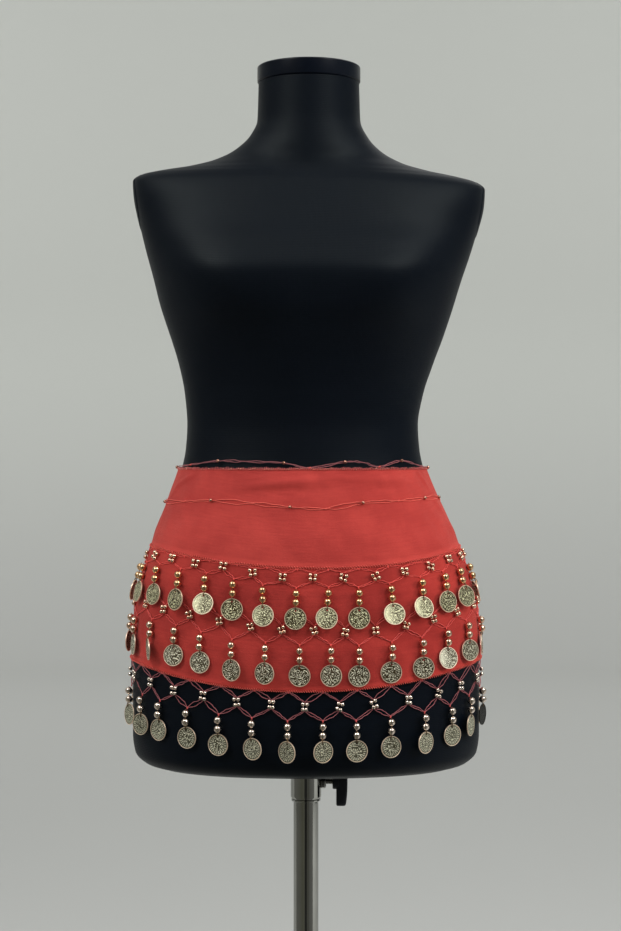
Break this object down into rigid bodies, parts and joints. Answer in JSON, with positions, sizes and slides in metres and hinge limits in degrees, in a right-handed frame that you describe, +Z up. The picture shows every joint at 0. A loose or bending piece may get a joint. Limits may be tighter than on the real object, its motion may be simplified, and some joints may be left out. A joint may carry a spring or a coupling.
{
  "type": "belly dance hip scarf on a dress form with stand",
  "caption": "Coral belly dance hip scarf with netted bead-and-coin fringes, tied on a black limbless dress form that slides and turns on a chrome pole with a round foot.",
  "frame": {"origin": "centre of the round foot's underside, on the pole's axis", "axes": "+Z up; -Y to the front of the form; +X to the viewer's right, seen from the front"},
  "size_m": [0.3803, 0.3, 1.2843],
  "materials": {
    "cloth": "matt coral-red chiffon, slightly sheer",
    "coins": "pale antique gold coins and beads on red knotted thread",
    "jersey": "black fine-knit jersey",
    "cap_plastic": "satin black",
    "knob_plastic": "black moulded plastic",
    "chrome": "polished chrome"
  },
  "bodies": {
    "stand": {"foot": "chrome", "pole": "chrome"},
    "slider": {"height_sleeve": "chrome"},
    "form": {"form_body": "jersey", "neck_cap": "cap_plastic", "clamp_collar": "chrome", "panel": "cloth", "overlay": "cloth", "knot": "cloth", "tail_left": "cloth", "tail_right": "cloth", "net_upper_left": "coins", "net_upper_right": "coins", "net_middle_left": "coins", "net_middle_right": "coins", "net_lower_left": "coins", "net_lower_right": "coins"},
    "knob": {"clamp_knob": "knob_plastic"}
  },
  "joints": [
    {"name": "height_slide", "type": "slide", "parent": "stand", "child": "slider", "axis": [0, 0, 1], "range_m": [-0.16, 0.16]},
    {"name": "form_turn", "type": "hinge", "parent": "slider", "child": "form", "pos_m": [0, 0, 0.55], "axis": [0, 0, 1], "continuous": true},
    {"name": "clamp_screw", "type": "hinge", "parent": "form", "child": "knob", "pos_m": [0.03, 0, 0.5415], "axis": [1, 0, 0], "continuous": true}
  ]
}
